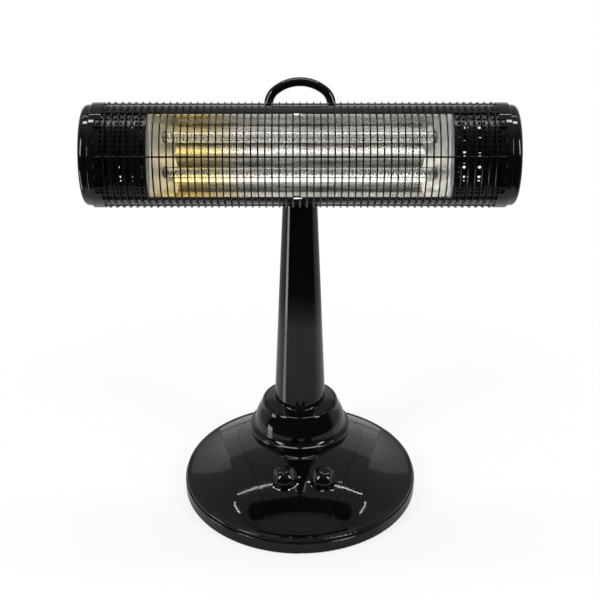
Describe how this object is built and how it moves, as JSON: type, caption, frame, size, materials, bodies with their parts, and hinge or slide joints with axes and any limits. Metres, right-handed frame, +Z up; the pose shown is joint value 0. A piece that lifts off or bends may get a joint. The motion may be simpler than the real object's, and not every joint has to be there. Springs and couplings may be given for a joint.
{
  "type": "carbon heater",
  "caption": "Table-top radiant carbon heater: a tilting horizontal head with wire guard, reflector and quartz tubes on a swivelling post and a round domed base with knobs.",
  "frame": {"origin": "middle of the base on the floor plane, under the feet", "axes": "+Z up, the front with the knobs and the guard faces -Y, +X to the right seen from the front"},
  "size_m": [0.486, 0.3, 0.5466],
  "materials": {
    "gloss_black_plastic": "moulded black plastic with a high gloss",
    "satin_black_metal": "black baked enamel on steel",
    "bright_reflector": "bright aluminium sheet",
    "quartz": "clear quartz glass",
    "carbon": "dark carbon filament ribbon",
    "ceramic": "white ceramic",
    "zinc_steel": "zinc-plated steel",
    "dark_rubber": "dark rubber",
    "grey_plastic": "grey moulded plastic"
  },
  "bodies": {
    "base": {"base_tray": "gloss_black_plastic", "base_cover": "gloss_black_plastic", "control_panel": "gloss_black_plastic", "collar": "gloss_black_plastic", "ballast_plate": "zinc_steel", "rubber_feet": "dark_rubber", "swivel_bridge": "zinc_steel", "bridge_screws": "zinc_steel", "swivel_bush": "grey_plastic", "timer_unit": "grey_plastic", "selector_switch": "grey_plastic", "swing_motor": "zinc_steel", "tip_over_switch": "grey_plastic", "terminal_block": "grey_plastic", "cord_grommet": "dark_rubber", "base_screws": "zinc_steel"},
    "timer_dial": {"timer_knob": "gloss_black_plastic", "timer_shaft": "zinc_steel"},
    "selector_dial": {"selector_knob": "gloss_black_plastic", "selector_shaft": "zinc_steel"},
    "crank": {"swing_crank": "grey_plastic"},
    "post": {"post_shell": "gloss_black_plastic", "foot_ring": "gloss_black_plastic", "load_pipe": "zinc_steel", "swivel_disc": "zinc_steel", "swing_arm": "zinc_steel", "pipe_nut": "zinc_steel", "post_cable": "dark_rubber", "neck_knuckle": "gloss_black_plastic", "tilt_bolt": "zinc_steel", "tilt_nut": "zinc_steel", "friction_washers": "grey_plastic"},
    "head": {"rear_shell": "satin_black_metal", "perforated_panel_left": "satin_black_metal", "perforated_panel_right": "satin_black_metal", "end_ring_left": "gloss_black_plastic", "end_ring_right": "gloss_black_plastic", "end_cap_left": "gloss_black_plastic", "end_cap_right": "gloss_black_plastic", "end_screws": "satin_black_metal", "guard_hoops": "satin_black_metal", "guard_rails": "satin_black_metal", "reflector": "bright_reflector", "reflector_end_left": "bright_reflector", "reflector_end_right": "bright_reflector", "bulkhead_left": "zinc_steel", "bulkhead_right": "zinc_steel", "upper_quartz_tube": "quartz", "upper_carbon_element": "carbon", "lower_quartz_tube": "quartz", "lower_carbon_element": "carbon", "tube_holders": "ceramic", "thermal_cutout": "zinc_steel", "head_terminal_block": "ceramic", "tilt_bracket": "satin_black_metal", "bracket_screws": "zinc_steel", "carry_handle": "gloss_black_plastic", "handle_screws": "zinc_steel"}
  },
  "joints": [
    {"name": "post_swivel", "type": "hinge", "parent": "base", "child": "post", "pos_m": [0, 0.05, 0.07], "axis": [0, 0, 1], "range_deg": [-30, 30]},
    {"name": "head_tilt", "type": "hinge", "parent": "post", "child": "head", "pos_m": [0, 0.05, 0.448], "axis": [-1, 0, 0], "range_deg": [-25, 12]},
    {"name": "timer_turn", "type": "hinge", "parent": "base", "child": "timer_dial", "pos_m": [-0.0195, -0.065, 0.05296], "axis": [-0.0671, -0.2237, 0.9723], "range_deg": [-270, 0]},
    {"name": "selector_turn", "type": "hinge", "parent": "base", "child": "selector_dial", "pos_m": [0.029, -0.065, 0.05215], "axis": [0.0998, -0.2237, 0.9695], "range_deg": [-150, 0]},
    {"name": "crank_turn", "type": "hinge", "parent": "base", "child": "crank", "pos_m": [0, 0.01, 0.036], "axis": [0, 0, 1], "range_deg": [-92, 92]}
  ],
  "couplings": [
    {"joint": "crank_turn", "follows": "post_swivel", "ratio": 3}
  ]
}
